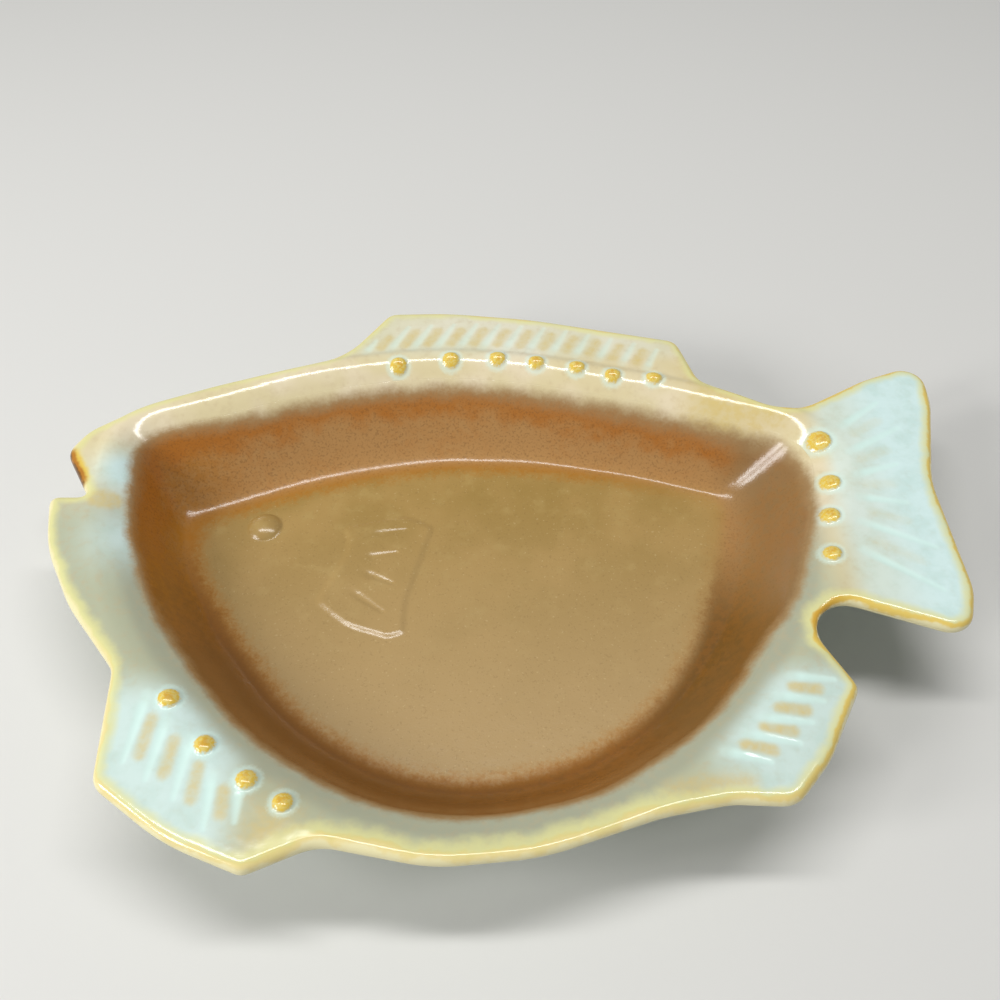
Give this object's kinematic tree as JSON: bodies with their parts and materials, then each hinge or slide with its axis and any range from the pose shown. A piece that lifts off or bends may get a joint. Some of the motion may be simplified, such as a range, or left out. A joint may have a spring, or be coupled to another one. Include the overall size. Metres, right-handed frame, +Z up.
{
  "type": "platter",
  "caption": "Fish shaped stoneware platter with a deep brown well, a pale blue-green flange with fin rays and raised beads, and a foot ring",
  "frame": {"origin": "centre of the base on the table plane, under the middle of the fish's length and width", "axes": "-X towards the fish's lips, +X towards the tail, +Y towards the dorsal fin, +Z up"},
  "size_m": [0.34, 0.244, 0.0417],
  "materials": {
    "stoneware": "matte",
    "pale_glaze": "gloss",
    "brown_glaze": "gloss"
  },
  "bodies": {
    "root": {"clay_body": "stoneware", "rim_glaze": "pale_glaze", "well_glaze": "brown_glaze", "outside_glaze": "pale_glaze", "recess_glaze": "pale_glaze"}
  },
  "joints": []
}
